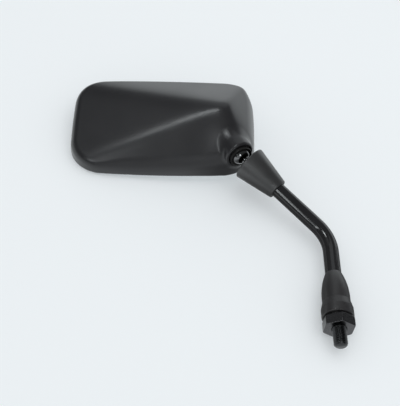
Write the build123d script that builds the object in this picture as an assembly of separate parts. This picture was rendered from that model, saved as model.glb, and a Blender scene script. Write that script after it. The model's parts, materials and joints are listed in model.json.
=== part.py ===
from build123d import *
from math import cos, exp, log, radians, sin, sqrt, tan
import os

# Mount stud, lock nut and lock washer
stud_dia = 10.0
stud_reach = 13.0
stud_chamfer = 1.2
stud_thread_top = 0.1
stud_neck_dia = 9.5
stud_press_length = 12.0
thread_clearance = 0.05
nut_seat = 0.3
press_clearance = 0.02
nut_flats = 21.0
nut_height = 8.2
nut_corner_angle = 34.5
nut_face_dia = 20.0
nut_chamfer_angle = 30.0
nut_countersink = 0.8
washer_dia = 18.0
washer_thickness = 1.0
washer_slit = 1.4
washer_slit_angle = 35.0
washer_clearance = 0.1

# Stem base: a bell over a round collar
collar_dia = 23.4
collar_height = 6.8
collar_round = 0.8
shoulder_height = 6.0
bell_dia = 20.5
bell_straight = 4.0
bell_taper = 20.6
bell_lip = 0.2
stem_socket_depth = 24.0

# Stem: a tube with one bend
stem_dia = 12.0
stem_wall = 2.0
leg_length = 81.2
upper_run = 97.1
bend_angle = 48.7
bend_turn = 18.3
bend_radius = 30.0

# Ball stud
ball_dia = 16.0
shank_dia = 8.0
shank_length = 15.0
shank_flare = 3.0
stem_end_gap = 20.0
spigot_length = 18.0

# Rubber boot
boot_start = 10.5
boot_length = 32.0
boot_mouth_dia = 29.0
boot_tail_dia = 16.6
boot_wall = 2.2
boot_grip = 9.0
boot_mouth_round = 0.9
boot_tail_round = 1.2
boot_clearance = 0.05

# Ball seats in the neck, measured out of the ball along the neck
seat_clearance = 0.05
lip_dia = 18.4
lip_reach = 4.0
lip_round = 0.8
seat_dia = 20.4
seat_shoulder = 0.5
seat_flange = 2.5
seat_gap = 0.3
cup_height = 7.7
spring_count = 4
spring_dia = 18.4
spring_bore = 7.0
spring_thickness = 0.8
spring_cone = 0.6
plug_height = 4.0
plug_drive_flats = 8.0
plug_drive_depth = 2.6

# Housing outline, measured across the open face
housing_width = 152.8
housing_height = 92.4
housing_corner = 25.0
side_bow = 2.2
top_bow = 3.3
housing_draft = 4.0
housing_wall = 2.5
crest_round = 6.0

# Housing back: depths above the open face at its key points
peak_from_right = 24.4
peak_below_middle = 7.9
peak_depth = 45.0
ridge_foot_from_left = 18.0
ridge_foot_from_bottom = 7.9
ridge_foot_depth = 13.0
left_top_depth = 28.5
top_left_depth = 22.0
top_right_depth = 21.8
bottom_depth = 14.3
right_edge_depth = 18.5
facet_blend = 2.4
crown_margin = 8.0
crown_steps_across = 29
crown_steps_up = 19

# Neck of the housing, with the ball's place in the head
neck_angle = 27.0
neck_dia = 24.4
neck_rim = 1.5
neck_rim_round = 0.7
barrel_tail = 1.0
ball_from_right = 14.15
ball_from_bottom = 8.05
ball_depth = 19.5

# Glass, pad, backing plate, gasket and backing screws
glass_radius = 1200.0
glass_thickness = 2.2
glass_crown_depth = 0.4
gasket_width = 2.0
gasket_front = 0.6
bedding_clearance = 0.1
plate_depth = 5.0
plate_thickness = 1.2
ledge_width = 3.0
ledge_thickness = 2.0
pad_inset = 6.0
screw_across = 48.0
screw_up = 28.0
screw_by_barrel = 24.0
screw_dia = 3.5
screw_head_dia = 6.6
screw_reach = 4.5
boss_dia = 7.5

half_width = housing_width / 2
half_height = housing_height / 2
stem_radius = stem_dia / 2
stem_bore = stem_radius - stem_wall
ball_radius = ball_dia / 2
seat_radius = ball_radius + seat_clearance
neck_radius = neck_dia / 2
lip_radius = lip_dia / 2
barrel_radius = seat_dia / 2
nut_top = nut_seat + nut_height
washer_top = nut_top + washer_thickness
shoulder_bottom = washer_top + collar_height
shoulder_top = shoulder_bottom + shoulder_height
bell_start = shoulder_top + bell_straight
bell_top = bell_start + bell_taper
stem_bottom = bell_top - stem_socket_depth
stud_top = washer_top + stud_press_length
ledge_depth = plate_depth + plate_thickness
glass_inset = housing_wall + gasket_width
plate_inset = housing_wall + bedding_clearance + ledge_depth * tan(radians(housing_draft))

# Heights along the neck, counted out of the ball
spring_pitch = spring_thickness + spring_cone
flange_bottom = -seat_shoulder - seat_flange
cup_top = flange_bottom - seat_gap
cup_bottom = cup_top - cup_height
plug_top = cup_bottom - spring_count * spring_pitch
plug_bottom = plug_top - plug_height
barrel_end = plug_bottom - barrel_tail

# Directions of the stem's upper run, the shank below the ball and the neck
lean = radians(bend_angle)
turn = radians(bend_turn)
upper = Vector(-sin(lean) * cos(turn), -sin(lean) * sin(turn), cos(lean))
shank = upper * -1
neck_lean = radians(neck_angle)
neck = Vector(sin(neck_lean), 0, -cos(neck_lean))
bend_corner = Vector(0, 0, leg_length)
ball_centre = bend_corner + upper * upper_run

# Local Z runs down the shank, out along the neck, or back from the open face
shank_plane = Plane(ball_centre, z_dir=shank)
neck_plane = Plane(ball_centre, x_dir=(0, 1, 0), z_dir=neck)
ball_in_head = Vector(half_width - ball_from_right, -ball_depth, ball_from_bottom - half_height)
head_origin = ball_centre - ball_in_head
head_plane = Plane(head_origin, x_dir=(1, 0, 0), z_dir=(0, -1, 0))


def turned(*corners):
    """Solid turned about local Z from (radius, height) corners."""
    return revolve(make_face(Plane.XZ * Polyline(*corners, close=True)), Axis.Z)


def rod(radius, low, high):
    """Round bar about local Z between two heights."""
    return Pos(0, 0, (low + high) / 2) * Cylinder(radius, high - low)


def edges_at(solid, radius, height):
    """Round edges of a turned solid with this radius at this height."""
    return solid.edges().filter_by(
        lambda edge: edge.geom_type == GeomType.CIRCLE
        and abs(edge.radius - radius) < 0.01
        and abs(edge.center().Z - height) < 0.01
    )


# Pieces of the mount end
def make_mount_stud():
    body = rod(stud_dia / 2, -stud_reach, stud_thread_top)
    body += rod(stud_neck_dia / 2, stud_thread_top, stud_top)
    return chamfer(edges_at(body, stud_dia / 2, -stud_reach), stud_chamfer)


def make_lock_nut():
    corner_radius = nut_flats / 2 / cos(radians(30))
    chamfer_rise = (corner_radius - nut_face_dia / 2) * tan(radians(nut_chamfer_angle))
    blank = Rot(0, 0, nut_corner_angle) * extrude(RegularPolygon(corner_radius, 6), nut_height)
    cone = turned(
        (0, 0),
        (nut_face_dia / 2, 0),
        (corner_radius, chamfer_rise),
        (corner_radius, nut_height - chamfer_rise),
        (nut_face_dia / 2, nut_height),
        (0, nut_height),
    )
    bore = stud_dia / 2 + thread_clearance
    hole = turned(
        (0, 0),
        (bore + nut_countersink, 0),
        (bore, nut_countersink),
        (bore, nut_height - nut_countersink),
        (bore + nut_countersink, nut_height),
        (0, nut_height),
    )
    return Pos(0, 0, nut_seat) * ((blank & cone) - hole)


def make_lock_washer():
    inner = stud_dia / 2 + washer_clearance
    ring = rod(washer_dia / 2, nut_top, washer_top) - rod(inner, nut_top, washer_top)
    slit = Pos(0, -washer_dia / 2, nut_top + washer_thickness / 2) * Rot(0, washer_slit_angle, 0)
    return ring - slit * Box(washer_slit, washer_dia, 3 * washer_thickness)


def make_stem_base():
    lip_radius_at_stem = stem_radius + bell_lip
    side = Polyline(
        (0, washer_top),
        (collar_dia / 2, washer_top),
        (collar_dia / 2, shoulder_bottom),
        (bell_dia / 2, shoulder_top),
        (bell_dia / 2, bell_start),
    )
    ogive = TangentArc((bell_dia / 2, bell_start), (lip_radius_at_stem, bell_top), tangent=(0, 1))
    top = Polyline((lip_radius_at_stem, bell_top), (0, bell_top), (0, washer_top))
    body = revolve(make_face(Plane.XZ * Curve([side, ogive, top])), Axis.Z)
    rims = edges_at(body, collar_dia / 2, washer_top)
    rims += edges_at(body, collar_dia / 2, shoulder_bottom)
    rims += edges_at(body, bell_dia / 2, shoulder_top)
    body = fillet(rims, collar_round)
    body -= rod(stud_neck_dia / 2 + press_clearance, washer_top, stud_top)
    return body - rod(stem_radius + press_clearance, stem_bottom, bell_top)


# Stem and ball stud
def make_stem_tube():
    foot = Vector(0, 0, stem_bottom)
    end = ball_centre + shank * stem_end_gap
    path = FilletPolyline(foot, bend_corner, end, radius=bend_radius)
    section = Plane(foot) * (Circle(stem_radius) - Circle(stem_bore))
    return sweep(section, path)


def make_ball_stud():
    flare_end = shank_length + shank_flare
    spigot_radius = stem_bore - press_clearance
    pin = turned(
        (0, 0),
        (shank_dia / 2, 0),
        (shank_dia / 2, shank_length),
        (stem_radius, flare_end),
        (stem_radius, stem_end_gap),
        (spigot_radius, stem_end_gap),
        (spigot_radius, stem_end_gap + spigot_length),
        (0, stem_end_gap + spigot_length),
    )
    return shank_plane * (pin + Rot(90, 0, 0) * Sphere(ball_radius))


def make_rubber_boot():
    end = boot_start + boot_length
    grip_start = end - boot_grip
    mouth = boot_mouth_dia / 2
    tail = boot_tail_dia / 2
    bore = stem_radius + boot_clearance
    body = turned(
        (mouth - boot_wall, boot_start),
        (mouth, boot_start),
        (tail, end),
        (bore, end),
        (bore, grip_start),
    )
    rims = edges_at(body, mouth, boot_start)
    rims += edges_at(body, mouth - boot_wall, boot_start)
    body = fillet(rims, boot_mouth_round)
    body = fillet(edges_at(body, tail, end), boot_tail_round)
    return shank_plane * body


# Ball seats, springs and plug, from the neck's mouth inwards
def make_seat_ring():
    body = rod(lip_radius, -seat_shoulder, lip_reach)
    body += rod(barrel_radius, flange_bottom, -seat_shoulder)
    body = fillet(edges_at(body, lip_radius, lip_reach), lip_round)
    return neck_plane * (body - Rot(90, 0, 0) * Sphere(seat_radius))


def make_pressure_cup():
    body = rod(barrel_radius, cup_bottom, cup_top)
    return neck_plane * (body - Rot(90, 0, 0) * Sphere(seat_radius))


def make_disc_springs():
    inner = spring_bore / 2
    outer = spring_dia / 2
    springs = []
    for i in range(spring_count):
        bottom = plug_top + i * spring_pitch
        inner_lift = spring_cone if i % 2 else 0
        outer_lift = spring_cone - inner_lift
        springs.append(
            neck_plane
            * turned(
                (inner, bottom + inner_lift),
                (outer, bottom + outer_lift),
                (outer, bottom + outer_lift + spring_thickness),
                (inner, bottom + inner_lift + spring_thickness),
            )
        )
    return Compound(children=springs)


def make_clamp_plug():
    body = rod(barrel_radius, plug_bottom, plug_top)
    drive = RegularPolygon(plug_drive_flats / 2, 6, major_radius=False)
    recess = Pos(0, 0, plug_bottom) * extrude(drive, plug_drive_depth)
    return neck_plane * (body - recess)


# Housing
def plane_through(p, q, r):
    """Depth at (across, up) on the plane through three points."""
    normal = (Vector(*q) - Vector(*p)).cross(Vector(*r) - Vector(*p))
    return lambda x, y: p[2] - (normal.X * (x - p[0]) + normal.Y * (y - p[1])) / normal.Z


def back_facets():
    """Facets of the back: left, top, lower and right flank."""
    peak_across = half_width - peak_from_right
    foot_across = ridge_foot_from_left - half_width
    peak = (peak_across, -peak_below_middle, peak_depth)
    foot = (foot_across, ridge_foot_from_bottom - half_height, ridge_foot_depth)
    left_top = (-half_width, half_height, left_top_depth)
    top_left = (foot_across, half_height, top_left_depth)
    top_right = (peak_across, half_height, top_right_depth)
    bottom = (peak_across, -half_height, bottom_depth)
    right_slope = (peak_depth - right_edge_depth) / peak_from_right
    return [
        plane_through(foot, left_top, peak),
        plane_through(top_left, top_right, peak),
        plane_through(foot, peak, bottom),
        lambda x, y: peak_depth - right_slope * (x - peak_across),
    ]


def under_crown(wall):
    """Everything under the softly blended facets, each lowered by wall along its normal."""
    facets = []
    for facet in back_facets():
        slope_x = facet(1, 0) - facet(0, 0)
        slope_y = facet(0, 1) - facet(0, 0)
        facets.append((facet, wall * sqrt(1 + slope_x**2 + slope_y**2)))
    reach_x = half_width + crown_margin
    reach_y = half_height + crown_margin
    rows = []
    for i in range(crown_steps_across):
        x = reach_x * (2 * i / (crown_steps_across - 1) - 1)
        row = []
        for j in range(crown_steps_up):
            y = reach_y * (2 * j / (crown_steps_up - 1) - 1)
            total = sum(exp((drop - facet(x, y)) / facet_blend) for facet, drop in facets)
            row.append((x, y, -facet_blend * log(total)))
        rows.append(row)
    surface = Face.make_surface_from_array_of_points(rows, tol=0.02)
    return Solid.extrude(surface, Vector(0, 0, -2 * peak_depth))


def outline(inset):
    """Outline of the open face with bowed sides and round corners, drawn in all round by inset."""
    side_radius = (half_height**2 + side_bow**2) / (2 * side_bow)
    top_radius = (half_width**2 + top_bow**2) / (2 * top_bow)
    side = Circle(side_radius - inset)
    top = Circle(top_radius - inset)
    across = Pos(side_radius - half_width, 0)
    up = Pos(0, top_radius - half_height)
    face = (across * side) & (across.inverse() * side) & (up * top) & (up.inverse() * top)
    return fillet(face.vertices(), housing_corner - inset)


def slab(inset, low, high):
    """Plate on the drawn-in outline between two depths."""
    return Pos(0, 0, low) * extrude(outline(inset), high - low)


def domed_block(wall, round_radius):
    """Drafted block on the outline, closed by the crown, with its crest rounded."""
    walls = extrude(outline(wall), 2 * peak_depth, taper=housing_draft)
    body = walls & under_crown(wall)
    crest = body.faces().filter_by(GeomType.BSPLINE).sort_by(Axis.Z)[-1]
    return fillet(crest.edges(), round_radius)


def screw_places():
    """Screw centres: two at the left, one at the top right, one beside the barrel."""
    return Locations(
        (-screw_across, -screw_up),
        (-screw_across, screw_up),
        (screw_across, screw_up),
        (screw_by_barrel, -screw_up),
    )


def in_head(solid):
    """A solid of the neck's frame, seen from the open face of the head."""
    return head_plane.to_local_coords(neck_plane * solid)


def make_mirror_housing():
    outer = domed_block(0, crest_round)
    cavity = domed_block(housing_wall, crest_round - housing_wall)
    barrel = rod(neck_radius, barrel_end, neck_rim)
    barrel = in_head(fillet(edges_at(barrel, neck_radius, neck_rim), neck_rim_round))
    body = outer + barrel - (cavity - barrel)
    ledge = slab(housing_wall / 2, ledge_depth, ledge_depth + ledge_thickness)
    ledge -= slab(plate_inset + ledge_width, ledge_depth, ledge_depth + ledge_thickness)
    boss = rod(boss_dia / 2, ledge_depth, peak_depth)
    body += (ledge & outer) - barrel
    body += [boss_here & outer for boss_here in screw_places() * boss]
    pilot = rod(screw_dia / 2 + press_clearance, ledge_depth, ledge_depth + screw_reach)
    body -= screw_places() * pilot
    mouth = lip_radius + seat_clearance
    body -= in_head(rod(mouth, -seat_shoulder, neck_radius))
    body -= in_head(rod(barrel_radius + seat_clearance, barrel_end, -seat_shoulder))
    return head_plane * body


# Glass and what carries it
def glass_ball(offset):
    """Ball of the glass's curvature, its surface moved back from the front face by offset."""
    return Pos(0, 0, glass_crown_depth + glass_radius) * Rot(90, 0, 0) * Sphere(glass_radius - offset)


def make_mirror_glass():
    blank = slab(glass_inset, 0, plate_depth)
    return head_plane * ((blank & glass_ball(0)) - glass_ball(glass_thickness))


def make_foam_pad():
    blank = slab(glass_inset + pad_inset, glass_crown_depth, plate_depth)
    return head_plane * (blank & glass_ball(glass_thickness + bedding_clearance))


def make_rim_gasket():
    back = plate_depth - bedding_clearance
    band = extrude(outline(housing_wall + bedding_clearance), back, taper=housing_draft)
    band -= slab(0, 0, gasket_front)
    return head_plane * (band - slab(glass_inset - bedding_clearance, 0, back))


def screw_form(clearance):
    """Countersunk screw of the backing plate, or its hole with a clearance."""
    neck_size = screw_dia / 2 + clearance
    head_size = screw_head_dia / 2 + clearance
    return turned(
        (0, plate_depth),
        (head_size, plate_depth),
        (neck_size, ledge_depth),
        (neck_size, ledge_depth + screw_reach),
        (0, ledge_depth + screw_reach),
    )


def make_glass_backing_plate():
    blank = slab(plate_inset, plate_depth, ledge_depth)
    return head_plane * (blank - screw_places() * screw_form(press_clearance))


def make_backing_screws():
    return head_plane * Compound(children=[place * screw_form(0) for place in screw_places().locations])


makers = {
    "mount_stud": make_mount_stud,
    "lock_nut": make_lock_nut,
    "lock_washer": make_lock_washer,
    "stem_base": make_stem_base,
    "stem_tube": make_stem_tube,
    "ball_stud": make_ball_stud,
    "rubber_boot": make_rubber_boot,
    "seat_ring": make_seat_ring,
    "pressure_cup": make_pressure_cup,
    "disc_springs": make_disc_springs,
    "clamp_plug": make_clamp_plug,
    "mirror_housing": make_mirror_housing,
    "mirror_glass": make_mirror_glass,
    "foam_pad": make_foam_pad,
    "rim_gasket": make_rim_gasket,
    "glass_backing_plate": make_glass_backing_plate,
    "backing_screws": make_backing_screws,
}
os.makedirs("parts", exist_ok=True)
for node, make in makers.items():
    export_step(make(), f"parts/{node}.step")
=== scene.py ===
import json
import math
import bmesh
import bpy
import numpy as np
from mathutils import Matrix, Vector


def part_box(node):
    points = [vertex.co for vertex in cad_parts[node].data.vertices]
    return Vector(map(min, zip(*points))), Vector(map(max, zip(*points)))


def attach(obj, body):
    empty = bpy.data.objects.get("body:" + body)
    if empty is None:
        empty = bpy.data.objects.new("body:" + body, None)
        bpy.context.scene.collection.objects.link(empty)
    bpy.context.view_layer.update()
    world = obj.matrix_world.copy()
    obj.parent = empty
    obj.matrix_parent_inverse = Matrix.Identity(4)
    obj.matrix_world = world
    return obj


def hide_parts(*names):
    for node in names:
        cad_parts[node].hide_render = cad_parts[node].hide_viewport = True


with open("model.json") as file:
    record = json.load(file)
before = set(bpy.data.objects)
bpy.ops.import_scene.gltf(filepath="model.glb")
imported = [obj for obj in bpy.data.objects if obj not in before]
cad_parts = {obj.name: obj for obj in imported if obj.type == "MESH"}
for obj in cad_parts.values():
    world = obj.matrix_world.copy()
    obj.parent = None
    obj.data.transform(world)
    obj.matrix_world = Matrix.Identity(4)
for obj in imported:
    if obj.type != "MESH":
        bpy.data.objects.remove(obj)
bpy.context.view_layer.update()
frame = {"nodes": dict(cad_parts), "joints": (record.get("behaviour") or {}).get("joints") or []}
mm = 0.001

# Axes shared by the pieces: ball centre, shank and neck
joints = {joint["name"]: joint for joint in frame["joints"]}
ballCentre = Vector(joints["ball_tilt"]["pos_m"])
shankAxis = Vector(joints["shank_turn"]["axis"]).normalized()
neckAxis = Vector(joints["neck_turn"]["axis"]).normalized()


def alongAxis(centre, axis):
    # place whose local Z runs along an axis, scaled from millimetres
    turn = Vector((0, 0, 1)).rotation_difference(axis).to_matrix().to_4x4()
    return Matrix.Translation(centre) @ turn @ Matrix.Scale(mm, 4)


mountPlace = Matrix.Scale(mm, 4)
shankPlace = alongAxis(ballCentre, shankAxis)
neckPlace = alongAxis(ballCentre, neckAxis)


# Node helpers: the owner of a node is a material, the world or a node tree
def feed(owner, node, inputs):
    # links an input that is given as a socket and sets any other
    links = getattr(owner, "node_tree", owner).links
    for key, value in inputs.items():
        if isinstance(value, bpy.types.NodeSocket):
            links.new(value, node.inputs[key])
        else:
            node.inputs[key].default_value = value


def addNode(owner, kind, inputs, **settings):
    node = getattr(owner, "node_tree", owner).nodes.new(kind)
    for key, value in settings.items():
        setattr(node, key, value)
    feed(owner, node, inputs)
    return node


def calc(owner, operation, *values):
    return addNode(owner, "ShaderNodeMath", dict(enumerate(values)), operation=operation).outputs[0]


def mixedShaders(owner, factor, first, second):
    return addNode(owner, "ShaderNodeMixShader", {0: factor, 1: first, 2: second}).outputs["Shader"]


def newFinish(name, colour, roughness, metallic=0.0):
    finish = bpy.data.materials.new(name)
    finish.use_nodes = True
    shader = finish.node_tree.nodes["Principled BSDF"]
    feed(finish, shader, {"Base Color": (*colour, 1), "Roughness": roughness, "Metallic": metallic})
    return finish, shader


def objectPoint(finish, stretch=(1, 1, 1)):
    coords = addNode(finish, "ShaderNodeTexCoord", {})
    inputs = {"Vector": coords.outputs["Object"], "Scale": stretch}
    return addNode(finish, "ShaderNodeMapping", inputs).outputs["Vector"]


def noise(finish, scale, detail, stretch=(1, 1, 1)):
    inputs = {"Vector": objectPoint(finish, stretch), "Scale": scale, "Detail": detail}
    return addNode(finish, "ShaderNodeTexNoise", inputs).outputs["Fac"]


def cells(finish, scale):
    inputs = {"Vector": objectPoint(finish), "Scale": scale}
    return addNode(finish, "ShaderNodeTexVoronoi", inputs).outputs["Distance"]


def spread(finish, source, low, high, fromLow=0.3, fromHigh=0.7):
    inputs = {"Value": source, "From Min": fromLow, "From Max": fromHigh, "To Min": low, "To Max": high}
    return addNode(finish, "ShaderNodeMapRange", inputs).outputs["Result"]


def shades(finish, factor, dark, light):
    inputs = {0: factor, 6: (*dark, 1), 7: (*light, 1)}   # the factor and the two colours of a mix
    return addNode(finish, "ShaderNodeMix", inputs, data_type="RGBA").outputs[2]


def relief(finish, height, strength, depth):
    inputs = {"Height": height, "Strength": strength, "Distance": depth * mm}
    return addNode(finish, "ShaderNodeBump", inputs).outputs["Normal"]


# Finishes: a pattern is a noise (scale, detail, stretch) or, by scale alone, cells.
# Tone, wear and bump name the pattern that varies colour, roughness and relief.
finishes = {
    "mouldedPlastic": dict(
        patterns={"grain": (2600, 2), "patches": (45, 4)},
        tone=("patches", (0.0135, 0.0135, 0.0155), (0.017, 0.017, 0.0195)),
        wear=("patches", 0.29, 0.34), bump=("grain", 0.16, 0.05)),
    "bootRubber": dict(
        patterns={"grain": (1500, 3), "patches": (90, 4)},
        tone=("patches", (0.013, 0.013, 0.014), (0.019, 0.019, 0.020)),
        wear=("patches", 0.38, 0.46), bump=("grain", 0.18, 0.07), sockets={"Specular IOR Level": 1.0}),
    "glossPaint": dict(
        patterns={"peel": (420, 2), "dust": (110, 5)},
        tone=("dust", (0.010, 0.010, 0.011), (0.015, 0.015, 0.016)),
        wear=("dust", 0.13, 0.18), bump=("peel", 0.006, 0.04)),
    "powderCoat": dict(
        patterns={"pebbles": (1300, 2), "patches": (120, 4)},
        tone=("patches", (0.017, 0.017, 0.018), (0.024, 0.023, 0.025)),
        wear=("patches", 0.33, 0.42), bump=("pebbles", 0.16, 0.06)),
    "blackZinc": dict(
        metallic=1.0, patterns={"bloom": (170, 5), "scratches": (900, 3, (1, 1, 8))},
        tone=("bloom", (0.06, 0.058, 0.06), (0.084, 0.082, 0.086)),
        wear=("scratches", 0.22, 0.34), bump=("scratches", 0.08, 0.04)),
    "blackOxide": dict(
        metallic=1.0, patterns={"streaks": (1100, 3, (1, 1, 0.06)), "rubbed": (260, 4)},
        tone=("streaks", (0.018, 0.018, 0.019), (0.07, 0.07, 0.073)),
        wear=("rubbed", 0.2, 0.32), bump=("streaks", 0.06, 0.03)),
    "polishedBlack": dict(
        metallic=1.0, patterns={"smears": (300, 4)},
        tone=("smears", (0.15, 0.15, 0.153), (0.18, 0.18, 0.183)),
        wear=("smears", 0.06, 0.16), bump=("smears", 0.03, 0.05)),
    "blackNylon": dict(
        patterns={"flow": (260, 4, (1, 1, 5)), "grain": (1400, 3)},
        tone=("flow", (0.007, 0.007, 0.007), (0.012, 0.012, 0.012)),
        wear=("flow", 0.34, 0.48), bump=("grain", 0.1, 0.05), sockets={"Specular IOR Level": 0.2}),
    "oiledSpringSteel": dict(
        metallic=1.0, patterns={"drawn": (500, 4, (1, 1, 14)), "oil": (140, 4)},
        tone=("oil", (0.13, 0.125, 0.12), (0.26, 0.26, 0.26)),
        wear=("drawn", 0.22, 0.42), bump=("drawn", 0.1, 0.04)),
    "silveredGlass": dict(
        metallic=1.0, patterns={"haze": (60, 6)},
        tone=("haze", (0.84, 0.865, 0.87), (0.88, 0.895, 0.90)),
        wear=("haze", 0.012, 0.035), sockets={"Coat Weight": 1.0, "Coat Roughness": 0.01}),
    "gasketRubber": dict(
        patterns={"patches": (200, 4), "grain": (1800, 3)},
        tone=("patches", (0.014, 0.014, 0.014), (0.024, 0.024, 0.024)),
        wear=("patches", 0.55, 0.7), bump=("grain", 0.15, 0.05)),
    "closedCellFoam": dict(
        patterns={"bubbles": (1400,)},
        tone=("bubbles", (0.022, 0.022, 0.022), (0.042, 0.042, 0.042)),
        wear=("bubbles", 0.8, 0.95, 0, 0.8), bump=("bubbles", 0.5, 0.2)),
    "zincPlate": dict(
        metallic=1.0, patterns={"spangle": (190,), "rolled": (160, 4, (1, 20, 20))},
        tone=("spangle", (0.36, 0.36, 0.37), (0.48, 0.48, 0.49)),
        wear=("rolled", 0.3, 0.46), bump=("rolled", 0.06, 0.04)),
}


def makeFinish(name, patterns, tone, wear, bump=None, metallic=0.0, sockets=None):
    finish, shader = newFinish(name, np.add(*tone[1:]) / 2, (wear[1] + wear[2]) / 2, metallic)
    made = {}
    for label, sizes in patterns.items():
        made[label] = cells(finish, *sizes) if len(sizes) == 1 else noise(finish, *sizes)
    feed(finish, shader, sockets or {})
    feed(finish, shader, {"Base Color": shades(finish, made[tone[0]], *tone[1:]),
                          "Roughness": spread(finish, made[wear[0]], *wear[1:])})
    if bump:
        feed(finish, shader, {"Normal": relief(finish, made[bump[0]], *bump[1:])})
    return finish


finishOf = {name: makeFinish(name, **values) for name, values in finishes.items()}
print("finishes made:", len(finishOf))


# Mesh helpers
def linkPiece(name, mesh, finish, sharpAngle):
    mesh.materials.clear()
    mesh.materials.append(finish)
    mesh.shade_smooth()
    mesh.set_sharp_from_angle(angle=math.radians(sharpAngle))
    piece = bpy.data.objects.new(name, mesh)
    bpy.context.scene.collection.objects.link(piece)
    return piece


def addPiece(name, points, faces, finish, sharpAngle=35):
    mesh = bpy.data.meshes.new(name)
    mesh.from_pydata([tuple(p) for p in points], [], [tuple(f) for f in faces])
    mesh.validate()
    return linkPiece(name, mesh, finish, sharpAngle)


def settle(piece, body, slot, *nodes):
    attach(piece, body)
    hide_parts(*nodes)


def placed(points, place):
    # points of a local frame, moved to the object's frame
    matrix = np.array(place)
    return np.asarray(points, float) @ matrix[:3, :3].T + matrix[:3, 3]


def roundedProfile(corners, steps=6):
    # (radius, height, rounding) corners to a line with arcs at the rounded ones
    line = []
    for i, (radius, height, rounding) in enumerate(corners):
        here = Vector((radius, height))
        if not rounding:
            line.append(here)
            continue
        before = (Vector(corners[i - 1][:2]) - here).normalized()
        after = (Vector(corners[(i + 1) % len(corners)][:2]) - here).normalized()
        half = before.angle(after) / 2
        centre = here + (before + after).normalized() * rounding / math.sin(half)
        start = here + before * rounding / math.tan(half) - centre
        stop = here + after * rounding / math.tan(half) - centre
        sweep = start.angle_signed(stop)
        for step in range(steps + 1):
            turn = Matrix.Rotation(-sweep * step / steps, 2)
            line.append(centre + turn @ start)
    return line


def ringFaces(rings):
    # skin between rings of point numbers, with triangles where a ring is one point
    faces = []
    for ring, following in zip(rings, rings[1:]):
        if len(set(ring)) == 1 and len(set(following)) == 1:
            continue
        for k in range(len(ring)):
            n = (k + 1) % len(ring)
            faces.append(list(dict.fromkeys([ring[k], ring[n], following[n], following[k]])))
    return faces


onAxis = 1e-6   # a smaller radius closes the line on the axis


def turnedPiece(name, line, place, finish, segments=144, sharpAngle=35):
    # closed line of (radius, height) turned about local Z
    points, rings = [], []
    for radius, height in line:
        if radius < onAxis:
            rings.append([len(points)] * segments)
            points.append((0, 0, height))
            continue
        rings.append(list(range(len(points), len(points) + segments)))
        for k in range(segments):
            angle = 2 * math.pi * k / segments
            points.append((radius * math.cos(angle), radius * math.sin(angle), height))
    return addPiece(name, placed(points, place), ringFaces(rings + rings[:1]), finish, sharpAngle)


# Solids given as distances: union and cut with rounded joins, meshed on a grid
def roundedUnion(a, b, radius):
    blend = np.hypot(np.maximum(radius - a, 0), np.maximum(radius - b, 0))
    return np.maximum(radius, np.minimum(a, b)) - blend


def roundedCut(a, b, radius):
    # common part of two solids, its meeting edge rounded
    blend = np.hypot(np.maximum(radius + a, 0), np.maximum(radius + b, 0))
    return np.minimum(-radius, np.maximum(a, b)) + blend


def slopeOf(distance, points, step):
    slope = np.zeros_like(points)
    for axis in range(3):
        shift = np.zeros(3)
        shift[axis] = step
        slope[:, axis] = (distance(points + shift) - distance(points - shift)) / (2 * step)
    return slope


drawOn = {"passes": 3, "leastSteep": 0.2, "leastMove": 1e-9,
          "slopeStep": 0.05, "longestMove": 0.4}   # these two in cells


def distanceMesh(distance, low, high, cell):
    # one point in each grid cell that the surface crosses, then drawn onto the surface
    low = np.asarray(low, float)
    counts = np.ceil((np.asarray(high, float) - low) / cell).astype(int) + 1
    ticks = [low[i] + cell * np.arange(counts[i]) for i in range(3)]
    grid = np.stack(np.meshgrid(*ticks, indexing="ij"), axis=-1).reshape(-1, 3)
    field = distance(grid).reshape(counts)
    inside = field < 0
    corner = [(i, j, k) for i in (0, 1) for j in (0, 1) for k in (0, 1)]

    def shifted(values, offset):
        return values[tuple(slice(o, n - 1 + o) for o, n in zip(offset, counts))]

    filled = sum(shifted(inside, c).astype(int) for c in corner)
    active = (filled > 0) & (filled < 8)
    total = np.zeros((int(active.sum()), 3))
    hits = np.zeros(len(total))
    for a in corner:
        for axis in range(3):
            if a[axis]:
                continue
            b = tuple(1 if i == axis else a[i] for i in range(3))
            fromValue, toValue = shifted(field, a)[active], shifted(field, b)[active]
            crossed = (fromValue < 0) != (toValue < 0)
            place = np.tile(np.array(a, float), (int(crossed.sum()), 1))
            place[:, axis] = fromValue[crossed] / (fromValue[crossed] - toValue[crossed])
            total[crossed] += place
            hits[crossed] += 1
    points = low + cell * (np.argwhere(active) + total / hits[:, None])
    number = -np.ones(active.shape, int)
    number[active] = np.arange(len(points))
    faces = []
    for axis in range(3):
        u, v = (axis + 1) % 3, (axis + 2) % 3
        start = [slice(1, n - 1) for n in counts]
        stop = list(start)
        start[axis], stop[axis] = slice(0, counts[axis] - 1), slice(1, counts[axis])
        first, second = inside[tuple(start)], inside[tuple(stop)]
        for rising in (True, False):
            where = np.argwhere((first & ~second) if rising else (~first & second))
            where[:, u] += 1
            where[:, v] += 1
            ring = []
            for du, dv in ((1, 1), (0, 1), (0, 0), (1, 0)):
                cellIndex = where.copy()
                cellIndex[:, u] -= du
                cellIndex[:, v] -= dv
                ring.append(number[tuple(cellIndex.T)])
            quads = np.stack(ring, axis=1)
            faces.append(quads if rising else quads[:, ::-1])
    for _ in range(drawOn["passes"]):
        slope = slopeOf(distance, points, cell * drawOn["slopeStep"])
        steep = np.maximum((slope**2).sum(1), drawOn["leastSteep"])
        move = slope * (distance(points) / steep)[:, None]
        length = np.linalg.norm(move, axis=1, keepdims=True)
        points = points - move * np.minimum(1, drawOn["longestMove"] * cell / np.maximum(length, drawOn["leastMove"]))
    return points, np.concatenate(faces)


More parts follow.
